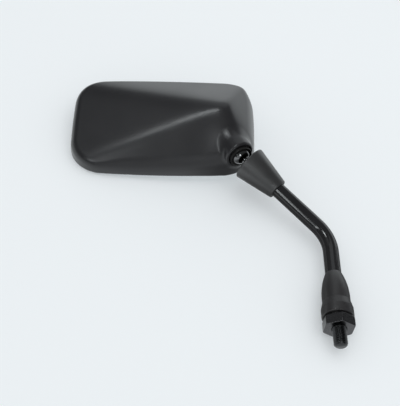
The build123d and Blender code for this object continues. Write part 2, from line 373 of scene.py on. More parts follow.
def meshedPiece(name, distance, halfX, halfY, bottom, top, sizes, place, finish, sharpAngle=35):
    margin = sizes["margin"]
    low = (-halfX - margin, -halfY - margin, bottom - margin)
    high = (halfX + margin, halfY + margin, top + margin)
    points, faces = distanceMesh(distance, low, high, sizes["cell"])
    return addPiece(name, placed(points, place), faces, finish, sharpAngle)


# Head: outline, facets of the back and the neck, in millimetres from the middle of the open face
housing = {
    "height": 92.4, "corner": 25.0, "sideBow": 2.2, "topBow": 3.3, "draft": 4.0, "wall": 2.5, "rimRound": 0.8,
    "crestRound": 6.0, "leastCrest": 0.5,
    "footCrest": (-54.0, -41.0, 3.0, 34.0),   # tighter at the ridge's foot: across, up, rounding, reach
    "peak": (52.0, -7.9, 45.0), "ridgeFoot": (-58.4, -38.3, 13.0),
    "leftTopDepth": 28.5, "topLeftDepth": 22.0, "topRightDepth": 21.8, "bottomDepth": 14.3, "rightEdgeDepth": 18.5,
    "upperBlend": 2.2, "farBlend": 4.3, "farReach": 60.0,
    "ridgeBlend": 1.7, "flankBlend": 6.0, "flankFrom": -8.0, "flankReach": 20.0,
    "swell": (53.0, -31.0, 2.2, 9.5),   # across, up, height, spread
    "neckRadius": 12.2, "neckRim": 1.5, "neckRimRound": 1.8, "neckRoot": 3.0, "barrelEnd": -21.6, "boreOver": 1.0,
    "mouthRadius": 9.25, "mouthRound": 0.9, "boreRadius": 10.25, "seatShoulder": -0.5,
    "ledge": (6.2, 8.2), "ledgeInset": 6.03, "bossRadius": 3.75, "pilotRadius": 1.77, "pilotReach": 4.5,
    "cell": 0.86, "margin": 3,
}
screws = {"places": [(-48.0, -28.0), (-48.0, 28.0), (48.0, 28.0), (24.0, -28.0)], "radius": 1.75, "reach": 4.5,
          "headRadius": 3.3, "headDepth": 1.2, "headLean": 0.61, "slot": 0.7, "slotDepth": 0.8, "slotShare": 0.55,
          "cell": 0.16, "margin": 0.5}
headLow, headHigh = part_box("mirror_housing")
halfWidth, halfHeight = (headHigh.x - headLow.x) / mm / 2, housing["height"] / 2
headOrigin = Vector(((headLow.x + headHigh.x) / 2, headHigh.y, headHigh.z - halfHeight * mm))
headPlace = Matrix.Translation(headOrigin) @ Matrix(
    ((1, 0, 0, 0), (0, 0, -1, 0), (0, 1, 0, 0), (0, 0, 0, 1))) @ Matrix.Scale(mm, 4)
ballInHead = np.array(headPlace.inverted() @ ballCentre)
neckInHead = np.array((neckAxis.x, neckAxis.z, -neckAxis.y))


def outlineDistance(points, inset=0.0):
    # four bowed sides with rounded corners, drawn in all round by inset
    half = (halfWidth, halfHeight)
    sides = []
    for axis, bow in ((0, housing["sideBow"]), (1, housing["topBow"])):
        radius = (half[1 - axis]**2 + bow**2) / (2 * bow)
        sides.append(np.hypot(np.abs(points[:, axis]) + radius - half[axis], points[:, 1 - axis]) - radius)
    return roundedCut(*sides, housing["corner"]) + inset


def planeThrough(p, q, r):
    p, q, r = (np.array(c, float) for c in (p, q, r))
    normal = np.cross(q - p, r - p)
    slopeX, slopeY = -normal[0] / normal[2], -normal[1] / normal[2]
    return slopeX, slopeY, p[2] - slopeX * p[0] - slopeY * p[1]


def backFacets():
    # (slope across, slope up, depth at the middle) of the left, top, right and lower facets
    peak, foot = housing["peak"], housing["ridgeFoot"]
    rightSlope = (peak[2] - housing["rightEdgeDepth"]) / (halfWidth - peak[0])
    topLeft = (foot[0], halfHeight, housing["topLeftDepth"])
    topRight = (peak[0], halfHeight, housing["topRightDepth"])
    return [
        planeThrough(foot, (-halfWidth, halfHeight, housing["leftTopDepth"]), peak),
        planeThrough(topLeft, topRight, peak),
        (-rightSlope, 0.0, peak[2] + rightSlope * peak[0]),
        planeThrough(foot, peak, (peak[0], -halfHeight, housing["bottomDepth"])),
    ]


def softLowest(depths, slopes, blend):
    # lowest of several depths with rounded meeting lines, and its slopes
    lowest = np.min(depths, axis=0)
    weights = [np.exp((lowest - depth) / blend) for depth in depths]
    total = sum(weights)
    slope = sum((weight / total)[:, None] * facet for weight, facet in zip(weights, slopes))
    return lowest - blend * np.log(total), slope


def grown(near, far, reached):
    share = np.clip(reached, 0, 1)
    return near + (far - near) * share**2 * (3 - 2 * share)


def crownDistance(points, wall):
    depths, slopes = [], []
    for slopeX, slopeY, depth in backFacets():
        drop = wall * math.sqrt(1 + slopeX**2 + slopeY**2)
        depths.append(slopeX * points[:, 0] + slopeY * points[:, 1] + depth - drop)
        slopes.append(np.tile((slopeX, slopeY), (len(points), 1)))
    swellX, swellY, swellHeight, swellSpread = housing["swell"]
    away = points[:, :2] - (swellX, swellY)
    swell = swellHeight * np.exp(-(away**2).sum(1) / (2 * swellSpread**2))
    lower = depths.pop() + swell
    lowerSlope = slopes.pop() - away * (swell / swellSpread**2)[:, None]
    pastPeak = points[:, 0] - housing["peak"][0]   # the meeting lines are softer away from the peak
    pastFlank = (pastPeak - housing["flankFrom"]) / housing["flankReach"]
    upperBlend = grown(housing["upperBlend"], housing["farBlend"], -pastPeak / housing["farReach"])
    lowerBlend = grown(housing["ridgeBlend"], housing["flankBlend"], pastFlank)
    upper, upperSlope = softLowest(depths, slopes, upperBlend)
    surface, slope = softLowest([upper, lower], [upperSlope, lowerSlope], lowerBlend)
    return (points[:, 2] - surface) / np.sqrt(1 + (slope**2).sum(1))


def domedBlock(points, wall):
    draft = math.radians(housing["draft"])
    side = (outlineDistance(points, wall) + points[:, 2] * math.tan(draft)) * math.cos(draft)
    footX, footY, footCrest, footReach = housing["footCrest"]
    fromFoot = np.hypot(points[:, 0] - footX, points[:, 1] - footY)
    crest = grown(footCrest, housing["crestRound"], fromFoot / footReach)
    return roundedCut(side, crownDistance(points, wall), np.maximum(crest - wall, housing["leastCrest"]))


def inNeck(points):
    # distance out along the neck from the ball, and distance from the neck's axis
    along = (points - ballInHead) @ neckInHead
    across = np.linalg.norm(points - ballInHead - along[:, None] * neckInHead, axis=1)
    return along, across


def housingDistance(points):
    depth = points[:, 2]
    along, across = inNeck(points)
    outer = domedBlock(points, 0)
    cavity = domedBlock(points, housing["wall"])
    barrel = roundedCut(across - housing["neckRadius"], along - housing["neckRim"], housing["neckRimRound"])
    barrel = np.maximum(barrel, housing["barrelEnd"] - along)
    shell = roundedUnion(outer, barrel, housing["neckRoot"])
    shell = np.maximum(shell, np.minimum(-cavity, barrel))
    ledgeLow, ledgeHigh = housing["ledge"]
    ledge = np.maximum(ledgeLow - depth, depth - ledgeHigh)
    ledge = np.maximum(ledge, -outlineDistance(points, housing["ledgeInset"]))
    shell = np.minimum(shell, np.maximum(np.maximum(ledge, outer), -barrel))
    for bossX, bossY in screws["places"]:
        fromBoss = np.hypot(points[:, 0] - bossX, points[:, 1] - bossY)
        boss = np.maximum(fromBoss - housing["bossRadius"], ledgeLow - depth)
        pilot = np.maximum(fromBoss - housing["pilotRadius"], depth - ledgeLow - housing["pilotReach"])
        shell = np.maximum(np.minimum(shell, np.maximum(boss, outer)), -pilot)
    mouth = np.maximum(across - housing["mouthRadius"], housing["seatShoulder"] - along)
    bore = np.maximum(across - housing["boreRadius"], along - housing["seatShoulder"])
    bore = np.maximum(bore, housing["barrelEnd"] - housing["boreOver"] - along)   # past the open end
    shell = roundedCut(shell, -np.minimum(mouth, bore), housing["mouthRound"])
    return roundedCut(shell, -depth, housing["rimRound"])


mirrorHousing = meshedPiece("mirrorHousing", housingDistance, halfWidth, halfHeight, 0, housing["peak"][2], housing,
                            headPlace, finishOf["mouldedPlastic"], sharpAngle=50)
settle(mirrorHousing, "mirror_head", "housing_black", "mirror_housing")
print("housing:", len(mirrorHousing.data.polygons), "faces")


# Glass, gasket and pad: rows of rounded outlines
def outlineLoop(inset, count=288, halvings=40):
    # points of the drawn-in outline on even rays from its middle
    angle = 2 * np.pi * np.arange(count) / count
    ray = np.column_stack([np.cos(angle), np.sin(angle)])
    near, far = np.zeros(count), np.full(count, 2 * halfWidth)
    for _ in range(halvings):
        middle = (near + far) / 2
        outside = outlineDistance(ray * middle[:, None], inset) > 0
        near, far = np.where(outside, near, middle), np.where(outside, middle, far)
    return ray * near[:, None]


def loftedRows(name, rows, closed, finish, sharpAngle=35):
    # rows of equal point counts skinned in order, with the ends closed to a point or to each other
    count, hub = len(rows[0]), len(rows) * len(rows[0])
    points = np.concatenate(rows)
    rings = [list(range(start, start + count)) for start in range(0, hub, count)]
    if closed:
        rings.append(rings[0])
    else:
        points = np.vstack([points, rows[0].mean(0), rows[-1].mean(0)])
        rings = [[hub] * count, *rings, [hub + 1] * count]
    return addPiece(name, placed(points, headPlace), ringFaces(rings), finish, sharpAngle)


glass = {"inset": 4.5, "radius": 1200.0, "thickness": 2.2, "crownDepth": 0.4, "edge": 0.3, "rings": 14}
foam = {"inset": 10.5, "clearance": 0.1, "back": 5.0, "soft": 0.35, "rings": 10}
gasket = {"outer": 2.6, "inner": 4.4, "front": 0.6, "back": 4.9, "bead": 0.5, "beadSteps": 6, "taper": 0.3}


def withDepth(loop, depth):
    return np.column_stack([loop, np.broadcast_to(depth, len(loop))])


def glassDepth(loop, offset):
    return glass["crownDepth"] + glass["radius"] - np.sqrt((glass["radius"] - offset)**2 - (loop**2).sum(1))


def platedRows(inset, rings, edge, frontDepth, backDepth):
    # front face from the middle out, the eased edge, then the back face inwards
    rim = outlineLoop(inset + edge)
    side = outlineLoop(inset)
    shares = [math.sin(math.pi / 2 * k / rings) for k in range(1, rings + 1)]
    rows = [withDepth(rim * share, frontDepth(rim * share)) for share in shares]
    rows.append(withDepth(side, frontDepth(side) + edge))
    rows.append(withDepth(side, backDepth(side) - edge))
    rows += [withDepth(rim * share, backDepth(rim * share)) for share in shares[::-1]]
    return rows


def gasketRows():
    middle = (gasket["outer"] + gasket["inner"]) / 2
    half = (gasket["inner"] - gasket["outer"]) / 2
    rows = []
    for k in range(gasket["beadSteps"] + 1):   # rounded lip towards the glass side
        angle = math.pi * k / gasket["beadSteps"]
        rows.append(withDepth(outlineLoop(middle - half * math.cos(angle)),
                              gasket["front"] + gasket["bead"] * (1 - math.sin(angle))))
    for inset in (gasket["inner"], gasket["outer"] + gasket["taper"]):
        rows.append(withDepth(outlineLoop(inset), gasket["back"]))
    return rows


mirrorGlass = loftedRows("mirrorGlass", platedRows(
    glass["inset"], glass["rings"], glass["edge"], lambda loop: glassDepth(loop, 0),
    lambda loop: glassDepth(loop, glass["thickness"])), False, finishOf["silveredGlass"], sharpAngle=25)
settle(mirrorGlass, "mirror_head", "mirror_silver", "mirror_glass")

foamPad = loftedRows("foamPad", platedRows(
    foam["inset"], foam["rings"], foam["soft"],
    lambda loop: glassDepth(loop, glass["thickness"] + foam["clearance"]),
    lambda loop: np.full(len(loop), foam["back"])), False, finishOf["closedCellFoam"])
settle(foamPad, "mirror_head", "pad_foam", "foam_pad")

rimGasket = loftedRows("rimGasket", gasketRows(), True, finishOf["gasketRubber"], sharpAngle=40)
settle(rimGasket, "mirror_head", "gasket_rubber", "rim_gasket")
print("glass, pad and gasket done")

# Stem base: bell over a round collar, with sockets (radius, depth) for stud and tube
stemBase = {"collarHeight": 6.8, "edgeRound": 0.8, "shoulderHeight": 6.0, "bellRadius": 10.25, "bellStraight": 4.0,
            "lipRadius": 6.2, "tubeSocket": (6.02, 24.0), "studSocket": (4.77, 12.0), "arcSteps": 24}
baseLow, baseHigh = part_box("stem_base")
collarBottom, bellTop = baseLow.z / mm, baseHigh.z / mm
collarRadius = (baseHigh.x - baseLow.x) / 2 / mm


def bellLine():
    bellRadius, edge, steps = stemBase["bellRadius"], stemBase["edgeRound"], stemBase["arcSteps"]
    shoulderBottom = collarBottom + stemBase["collarHeight"]
    shoulderTop = shoulderBottom + stemBase["shoulderHeight"]
    bellStart = shoulderTop + stemBase["bellStraight"]
    drop, rise = bellRadius - stemBase["lipRadius"], bellTop - bellStart
    arcRadius = (drop**2 + rise**2) / (2 * drop)
    studRadius, studDepth = stemBase["studSocket"]
    tubeRadius, tubeDepth = stemBase["tubeSocket"]
    line = roundedProfile([
        (studRadius, collarBottom, 0),
        (collarRadius, collarBottom, edge),
        (collarRadius, shoulderBottom, edge),
        (bellRadius, shoulderTop, edge),
        (bellRadius, bellStart, 0),
    ])
    for k in range(1, steps + 1):
        height = rise * k / steps
        line.append((bellRadius - arcRadius + math.sqrt(arcRadius**2 - height**2), bellStart + height))
    line += [(tubeRadius, bellTop), (tubeRadius, bellTop - tubeDepth), (0, bellTop - tubeDepth),
             (0, collarBottom + studDepth), (studRadius, collarBottom + studDepth)]
    return line


bellBase = turnedPiece("stemBase", bellLine(), mountPlace, finishOf["powderCoat"], segments=160, sharpAngle=30)
settle(bellBase, "stem", "satin_black", "stem_base")


# Node trees: named inputs for the sizes, and a plain mesh as the result
def addTree(name, sizes):
    tree = bpy.data.node_groups.new(name, "GeometryNodeTree")
    for side in ("INPUT", "OUTPUT"):
        tree.interface.new_socket("Geometry", in_out=side, socket_type="NodeSocketGeometry")
    for label, value in sizes.items():
        kind = "NodeSocketInt" if isinstance(value, int) else "NodeSocketFloat"
        if isinstance(value, bpy.types.Object):
            kind = "NodeSocketObject"
        tree.interface.new_socket(label, in_out="INPUT", socket_type=kind)
    return tree, tree.nodes.new("NodeGroupInput").outputs


def endTree(tree, geometry, finish):
    realize = addNode(tree, "GeometryNodeRealizeInstances", {"Geometry": geometry})
    paint = addNode(tree, "GeometryNodeSetMaterial", {"Geometry": realize.outputs["Geometry"], "Material": finish})
    addNode(tree, "NodeGroupOutput", {"Geometry": paint.outputs["Geometry"]})
    return tree


def grownPiece(name, seedMesh, makeTree, sizes, finish, wall=0.0, sharpAngle=35):
    # runs a tree on a seed mesh and keeps the result as a plain mesh
    tree = makeTree(sizes, finish)
    seed = bpy.data.objects.new(name + "Seed", seedMesh)
    bpy.context.scene.collection.objects.link(seed)
    modifier = seed.modifiers.new("grow", "NODES")
    modifier.node_group = tree
    for item in tree.interface.items_tree:
        if item.in_out == "INPUT" and item.name in sizes:
            modifier[item.identifier] = sizes[item.name]
    if wall:
        shell = seed.modifiers.new("wall", "SOLIDIFY")
        shell.thickness = wall
        shell.offset = -1
    bpy.context.view_layer.update()
    evaluated = seed.evaluated_get(bpy.context.evaluated_depsgraph_get())
    mesh = bpy.data.meshes.new_from_object(evaluated)
    bpy.data.objects.remove(seed)
    mesh.name = name
    return linkPiece(name, mesh, finish, sharpAngle)


# Stem tube: a path with a filleted bend, swept by a circle
stemTube = {"radius": 6.0, "wall": 2.0, "bendRadius": 30.0, "legLength": 81.2, "endGap": 20.0,
            "around": 96, "bendSteps": 48}


def bentTubeTree(sizes, finish):
    tree, given = addTree("bentTube", sizes)
    path = addNode(tree, "GeometryNodeMeshToCurve", {"Mesh": given["Geometry"]})
    bend = addNode(tree, "GeometryNodeFilletCurve", {
        "Curve": path.outputs["Curve"], "Radius": given["Bend Radius"], "Count": given["Bend Steps"],
        "Limit Radius": False}, mode="POLY")
    ring = addNode(tree, "GeometryNodeCurvePrimitiveCircle", {
        "Resolution": given["Around"], "Radius": given["Tube Radius"]})
    sweep = addNode(tree, "GeometryNodeCurveToMesh", {
        "Curve": bend.outputs["Curve"], "Profile Curve": ring.outputs["Curve"]})
    return endTree(tree, sweep.outputs["Mesh"], finish)


tubeBottom = bellTop - stemBase["tubeSocket"][1]
tubeEnd = ballCentre + shankAxis * stemTube["endGap"] * mm
tubePath = [(0, 0, tubeBottom * mm), (0, 0, stemTube["legLength"] * mm), tuple(tubeEnd)]
pathMesh = bpy.data.meshes.new("stemPath")
pathMesh.from_pydata(tubePath, [(0, 1), (1, 2)], [])
bentTube = grownPiece("stemTube", pathMesh, bentTubeTree, {
    "Tube Radius": stemTube["radius"] * mm, "Bend Radius": stemTube["bendRadius"] * mm,
    "Around": stemTube["around"], "Bend Steps": stemTube["bendSteps"]}, finishOf["glossPaint"],
    wall=stemTube["wall"] * mm)
settle(bentTube, "stem", "gloss_black", "stem_tube")
print("stem:", len(bentTube.data.polygons), "faces")

# Ball stud, boot and seat ring, turned about the shank and the neck
ballStud = {"ballRadius": 8.0, "shankRadius": 4.0, "shankLength": 15.0, "flare": 3.0,
            "spigotRadius": 3.98, "spigotLength": 18.0, "arcSteps": 40}


def ballStudLine():
    ballRadius, shankRadius, steps = ballStud["ballRadius"], ballStud["shankRadius"], ballStud["arcSteps"]
    line = [(0, -ballRadius)]
    stop = math.acos(shankRadius / ballRadius)
    for k in range(1, steps + 1):
        angle = -math.pi / 2 + (stop + math.pi / 2) * k / steps
        line.append((ballRadius * math.cos(angle), ballRadius * math.sin(angle)))
    spigotStart, spigotRadius = stemTube["endGap"], ballStud["spigotRadius"]
    spigotEnd = spigotStart + ballStud["spigotLength"]
    line += [(shankRadius, ballStud["shankLength"]), (stemTube["radius"], ballStud["shankLength"] + ballStud["flare"]),
             (stemTube["radius"], spigotStart), (spigotRadius, spigotStart), (spigotRadius, spigotEnd), (0, spigotEnd)]
    return line


ballPin = turnedPiece("ballStud", ballStudLine(), shankPlace, finishOf["polishedBlack"], segments=96, sharpAngle=40)
settle(ballPin, "stem", "chromed_black", "ball_stud")

boot = {"start": 10.5, "length": 32.0, "mouthRadius": 14.5, "tailRadius": 8.3, "wall": 2.2, "grip": 9.0, "bore": 6.05,
        "mouthRound": 0.9, "tailRound": 1.2, "roundSteps": 8}


def bootLine():
    end = boot["start"] + boot["length"]
    return roundedProfile([
        (boot["mouthRadius"] - boot["wall"], boot["start"], boot["mouthRound"]),
        (boot["mouthRadius"], boot["start"], boot["mouthRound"]),
        (boot["tailRadius"], end, boot["tailRound"]),
        (boot["bore"], end, 0),
        (boot["bore"], end - boot["grip"], 0),
    ], boot["roundSteps"])


bootSleeve = turnedPiece("rubberBoot", bootLine(), shankPlace, finishOf["bootRubber"], sharpAngle=40)
settle(bootSleeve, "boot", "boot_rubber", "rubber_boot")

seatRing = {"ballRadius": 8.05, "lipRadius": 9.2, "lipReach": 4.0, "lipRound": 0.5, "lipSteps": 6,
            "flangeRadius": 10.2, "shoulder": -0.5, "flangeBottom": -3.0, "arcSteps": 12}


def seatRingLine():
    reach, bottom, rounding = seatRing["lipReach"], seatRing["flangeBottom"], seatRing["lipRound"]
    line = []
    for k in range(seatRing["arcSteps"] + 1):
        height = reach + (bottom - reach) * k / seatRing["arcSteps"]
        line.append((math.sqrt(seatRing["ballRadius"]**2 - height**2), height))
    line += [(seatRing["flangeRadius"], bottom), (seatRing["flangeRadius"], seatRing["shoulder"]),
             (seatRing["lipRadius"], seatRing["shoulder"])]
    for k in range(seatRing["lipSteps"] + 1):   # eased outer edge of the lip
        angle = math.pi / 2 * k / seatRing["lipSteps"]
        line.append((seatRing["lipRadius"] - rounding * (1 - math.cos(angle)),
                     reach - rounding * (1 - math.sin(angle))))
    return line


ballSeat = turnedPiece("seatRing", seatRingLine(), neckPlace, finishOf["blackNylon"], segments=96, sharpAngle=40)
settle(ballSeat, "ball_seats", "nylon", "seat_ring")
print("ball joint done")

# Lock nut and split washer
lockNut = {"flats": 21.0, "topFace": 10.0, "bottomFace": 11.5, "chamferAngle": 30.0, "cornerAngle": 34.5,
           "bore": 5.05, "countersink": 0.8, "edge": 0.3, "cell": 0.28, "margin": 1}
nutLow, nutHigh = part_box("lock_nut")
nutBottom, nutTop = nutLow.z / mm, nutHigh.z / mm


def nutDistance(points):
    across = np.hypot(points[:, 0], points[:, 1])
    height = points[:, 2]
    side = None
    for k in range(6):
        angle = math.radians(lockNut["cornerAngle"] + 30 + 60 * k)
        flat = points[:, 0] * math.cos(angle) + points[:, 1] * math.sin(angle) - lockNut["flats"] / 2
        side = roundedCut(side, flat, lockNut["edge"]) if k else flat
    tilt = math.radians(lockNut["chamferAngle"])
    middle = (nutBottom + nutTop) / 2
    end = np.abs(height - middle) - (nutTop - nutBottom) / 2
    face = np.where(height > middle, lockNut["topFace"], lockNut["bottomFace"])
    chamfer = end * math.cos(tilt) + (across - face) * math.sin(tilt)
    body = roundedCut(roundedCut(side, chamfer, lockNut["edge"]), end, lockNut["edge"])
    sink = (across - lockNut["bore"] - lockNut["countersink"] - end) * math.sqrt(0.5)   # 45 degrees
    hole = np.minimum(across - lockNut["bore"], sink)
    return roundedCut(body, -hole, lockNut["edge"] / 2)


cornerRadius = lockNut["flats"] / 2 / math.cos(math.radians(30))
hexNut = meshedPiece("lockNut", nutDistance, cornerRadius, cornerRadius, nutBottom, nutTop, lockNut, mountPlace,
                     finishOf["blackZinc"], sharpAngle=60)
settle(hexNut, "lock_nut", "zinc_black", "lock_nut")

washer = {"outer": 9.0, "inner": 5.1, "slit": 1.4, "slitAngle": 35.0, "edge": 0.12, "cell": 0.17, "margin": 0.6}
washerLow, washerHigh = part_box("lock_washer")
washerBottom, washerTop = washerLow.z / mm, washerHigh.z / mm


def washerDistance(points):
    across = np.hypot(points[:, 0], points[:, 1])
    height = points[:, 2] - (washerBottom + washerTop) / 2
    band = roundedCut(across - washer["outer"], washer["inner"] - across, washer["edge"])
    band = roundedCut(band, np.abs(height) - (washerTop - washerBottom) / 2, washer["edge"])
    tilt = math.radians(washer["slitAngle"])
    offSlit = np.abs(points[:, 0] * math.cos(tilt) - height * math.sin(tilt)) - washer["slit"] / 2
    cut = np.maximum(offSlit, points[:, 1])
    return roundedCut(band, -cut, washer["edge"])


splitWasher = meshedPiece("lockWasher", washerDistance, washer["outer"], washer["outer"], washerBottom, washerTop,
                          washer, mountPlace, finishOf["oiledSpringSteel"], sharpAngle=60)
settle(splitWasher, "nut_washer", "spring_steel", "lock_washer")
print("nut and washer done")

# Mount stud: a thread wound on a grid, with a chamfered end and a plain root in the base
mountStud = {"radius": 5.0, "pitch": 1.25, "threadDepth": 0.62, "crestFlat": 0.1, "flankGain": 1.35,
             "tipRadius": 3.9, "rootRadius": 4.75, "around": 96, "rowsPerTurn": 14, "weld": 0.004, "sharpAngle": 60}
studLow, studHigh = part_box("mount_stud")


def threadTree(sizes, finish):
    tree, given = addTree("woundThread", sizes)
    grid = addNode(tree, "GeometryNodeMeshGrid", {
        "Size X": 1, "Size Y": 1, "Vertices X": given["Around"], "Vertices Y": given["Rows"]})
    position = addNode(tree, "GeometryNodeInputPosition", {})
    split = addNode(tree, "ShaderNodeSeparateXYZ", {0: position.outputs[0]})
    turn = calc(tree, "ADD", split.outputs["X"], 0.5)
    share = calc(tree, "ADD", split.outputs["Y"], 0.5)
    length = calc(tree, "SUBTRACT", given["Top"], given["Bottom"])
    height = calc(tree, "MULTIPLY_ADD", share, length, given["Bottom"])
    phase = calc(tree, "FRACT", calc(tree, "SUBTRACT", calc(tree, "DIVIDE", height, given["Pitch"]), turn))
    ramp = calc(tree, "ABSOLUTE", calc(tree, "MULTIPLY_ADD", phase, 2.0, -1.0))
    valley = calc(tree, "SUBTRACT", calc(tree, "SUBTRACT", 1.0, ramp), mountStud["crestFlat"])
    valley = calc(tree, "MULTIPLY", calc(tree, "MAXIMUM", valley, 0.0), mountStud["flankGain"])
    valley = calc(tree, "MINIMUM", valley, 1.0)   # 0 at crests, 1 in the root
    threaded = calc(tree, "MULTIPLY_ADD", valley, calc(tree, "MULTIPLY", given["Depth"], -1.0), given["Radius"])
    aboveTip = calc(tree, "SUBTRACT", height, given["Bottom"])
    threaded = calc(tree, "MINIMUM", threaded, calc(tree, "ADD", given["Tip Radius"], aboveTip))
    isRoot = calc(tree, "GREATER_THAN", height, given["Thread Top"])
    step = calc(tree, "SUBTRACT", given["Root Radius"], threaded)
    radius = calc(tree, "MULTIPLY_ADD", isRoot, step, threaded)
    angle = calc(tree, "MULTIPLY", turn, 2 * math.pi)
    combine = addNode(tree, "ShaderNodeCombineXYZ", {
        "X": calc(tree, "MULTIPLY", radius, calc(tree, "COSINE", angle)),
        "Y": calc(tree, "MULTIPLY", radius, calc(tree, "SINE", angle)), "Z": height})
    wind = addNode(tree, "GeometryNodeSetPosition", {
        "Geometry": grid.outputs["Mesh"], "Position": combine.outputs[0]})
    weld = addNode(tree, "GeometryNodeMergeByDistance", {
        "Geometry": wind.outputs["Geometry"], "Distance": mountStud["weld"] * mm})
    return endTree(tree, weld.outputs["Geometry"], finish)


def closeEnds(piece):
    # flat discs over the open ends of a wound piece
    shape = bmesh.new()
    shape.from_mesh(piece.data)
    bmesh.ops.holes_fill(shape, edges=[edge for edge in shape.edges if edge.is_boundary], sides=0)
    bmesh.ops.recalc_face_normals(shape, faces=shape.faces)
    shape.to_mesh(piece.data)
    shape.free()
    piece.data.set_sharp_from_angle(angle=math.radians(mountStud["sharpAngle"]))


studTurns = (studHigh.z - studLow.z) / mm / mountStud["pitch"]
threadStud = grownPiece("mountStud", bpy.data.meshes.new("studSeed"), threadTree, {
    "Radius": mountStud["radius"] * mm, "Pitch": mountStud["pitch"] * mm, "Depth": mountStud["threadDepth"] * mm,
    "Tip Radius": mountStud["tipRadius"] * mm, "Root Radius": mountStud["rootRadius"] * mm,
    "Bottom": studLow.z, "Top": studHigh.z, "Thread Top": collarBottom * mm, "Around": mountStud["around"] + 1,
    "Rows": round(studTurns * mountStud["rowsPerTurn"])}, finishOf["blackOxide"],
    sharpAngle=mountStud["sharpAngle"])
closeEnds(threadStud)
settle(threadStud, "stem", "zinc_black", "mount_stud")
print("stud:", len(threadStud.data.polygons), "faces")


# Backing screws: one countersunk screw set at each boss
def screwDistance(points):
    across = np.hypot(points[:, 0], points[:, 1])
    depth = points[:, 2]
    headRadius, headDepth = screws["headRadius"], screws["headDepth"]
    cone = headRadius - (headRadius - screws["radius"]) * depth / headDepth
    head = np.maximum(np.maximum((across - cone) * screws["headLean"], -depth), depth - headDepth)
    shank = np.maximum(np.maximum(across - screws["radius"], -depth), depth - headDepth - screws["reach"])
    arms = np.minimum(np.abs(points[:, 0]), np.abs(points[:, 1])) - screws["slot"] / 2
    cross = np.maximum(np.maximum(arms, across - headRadius * screws["slotShare"]), depth - screws["slotDepth"])
    return np.maximum(np.minimum(head, shank), -cross)


def screwSetTree(sizes, finish):
    tree, given = addTree("screwSet", sizes)
    places = addNode(tree, "GeometryNodeMeshToPoints", {"Mesh": given["Geometry"]})
    screw = addNode(tree, "GeometryNodeObjectInfo", {"Object": given["Screw"]})
    filled = addNode(tree, "GeometryNodeInstanceOnPoints", {
        "Points": places.outputs["Points"], "Instance": screw.outputs["Geometry"]})
    return endTree(tree, filled.outputs["Instances"], finish)


turnToHead = Matrix.Translation(-headPlace.translation) @ headPlace
oneScrew = meshedPiece("oneScrew", screwDistance, screws["headRadius"], screws["headRadius"], 0,
                       screws["headDepth"] + screws["reach"], screws, turnToHead, finishOf["zincPlate"])
screwSeed = bpy.data.meshes.new("screwPlaces")
screwSeed.from_pydata([tuple(headPlace @ Vector((x, y, foam["back"]))) for x, y in screws["places"]], [], [])
screwSet = grownPiece("backingScrews", screwSeed, screwSetTree, {"Screw": oneScrew}, finishOf["zincPlate"])
bpy.data.objects.remove(oneScrew)
settle(screwSet, "mirror_head", "plate_steel", "backing_screws")
print("screws:", len(screwSet.data.polygons), "faces")

# Inner pieces that keep their solids
for node, name in (("pressure_cup", "blackNylon"), ("disc_springs", "oiledSpringSteel"),
                   ("clamp_plug", "blackZinc"), ("glass_backing_plate", "zincPlate")):
    solid = frame["nodes"][node]
    solid.data.materials.clear()
    solid.data.materials.append(finishOf[name])

# Table behind the object, with cards, a graded room and a dim hood that only reflections show
stage = {"tableLean": 0.074, "tableNear": -3.4, "tableAcross": -208.0, "tableSize": 6.0, "tableRough": 0.8,
         "tableColour": (0.635, 0.668, 0.687), "tableGlow": (0.228, 0.240, 0.247), "tableSheen": 0.1,
         "paleColour": (0.839, 0.888, 0.913), "worldLight": 0.8, "tint": (0.95, 1.0, 1.02),
         "middle": (-0.09, -0.02, 0.14), "hoodRadius": 1.8, "hoodGlow": 0.12, "hoodSteps": 12, "hoodInner": 0.99,
         "facingAim": 0.75}   # cards that face along Y more than this stand upright
cards = {   # direction from the object, distance, width, height, glow
    "ridgeCard": ((-0.26, -0.95, 0.03), 1.1, 0.22, 0.22, 13.0),
    "faceCard": ((-0.42, -0.84, 0.34), 1.3, 0.7, 0.5, 0.34),
    "leftCard": ((-0.5, -0.67, -0.54), 1.2, 0.16, 0.6, 7.0),
    "rimCard": ((0.18, -0.56, -0.81), 1.0, 0.26, 0.26, 5.5),
    "frontPanel": ((0.0, -0.25, -0.97), 1.3, 1.3, 0.6, 0.6),
    "backPanel": ((0.125, -0.06, 0.31), 0.34, 0.67, 0.15, 1.2),
    "backHigh": ((0.09, -0.48, 0.46), 0.67, 0.5, 0.5, 0.7),
}
mirrored = {   # the table as the shiny pieces mirror it: a pale glow, with the stem's shadow painted in as a dim patch
    "pale": 1.0, "dim": 0.24, "across": (-0.112, -0.082), "up": (-0.002, 0.022), "top": (0.126, 0.146)}
room = {"distance": 1.6, "low": -1.3, "high": 0.95, "reach": 6.0, "fade": (-0.3, 0.7), "pale": 0.88, "deep": 0.45}
square = ((-1, -1), (1, -1), (1, 1), (-1, 1))


def splitPoint(finish):
    return addNode(finish, "ShaderNodeSeparateXYZ", {"Vector": objectPoint(finish)}).outputs


def glow(finish, strength):
    inputs = {"Color": (*stage["tint"], 1), "Strength": strength}
    return addNode(finish, "ShaderNodeEmission", inputs).outputs["Emission"]


def giveSurface(finish, shader):
    feed(finish, finish.node_tree.nodes["Material Output"], {"Surface": shader})


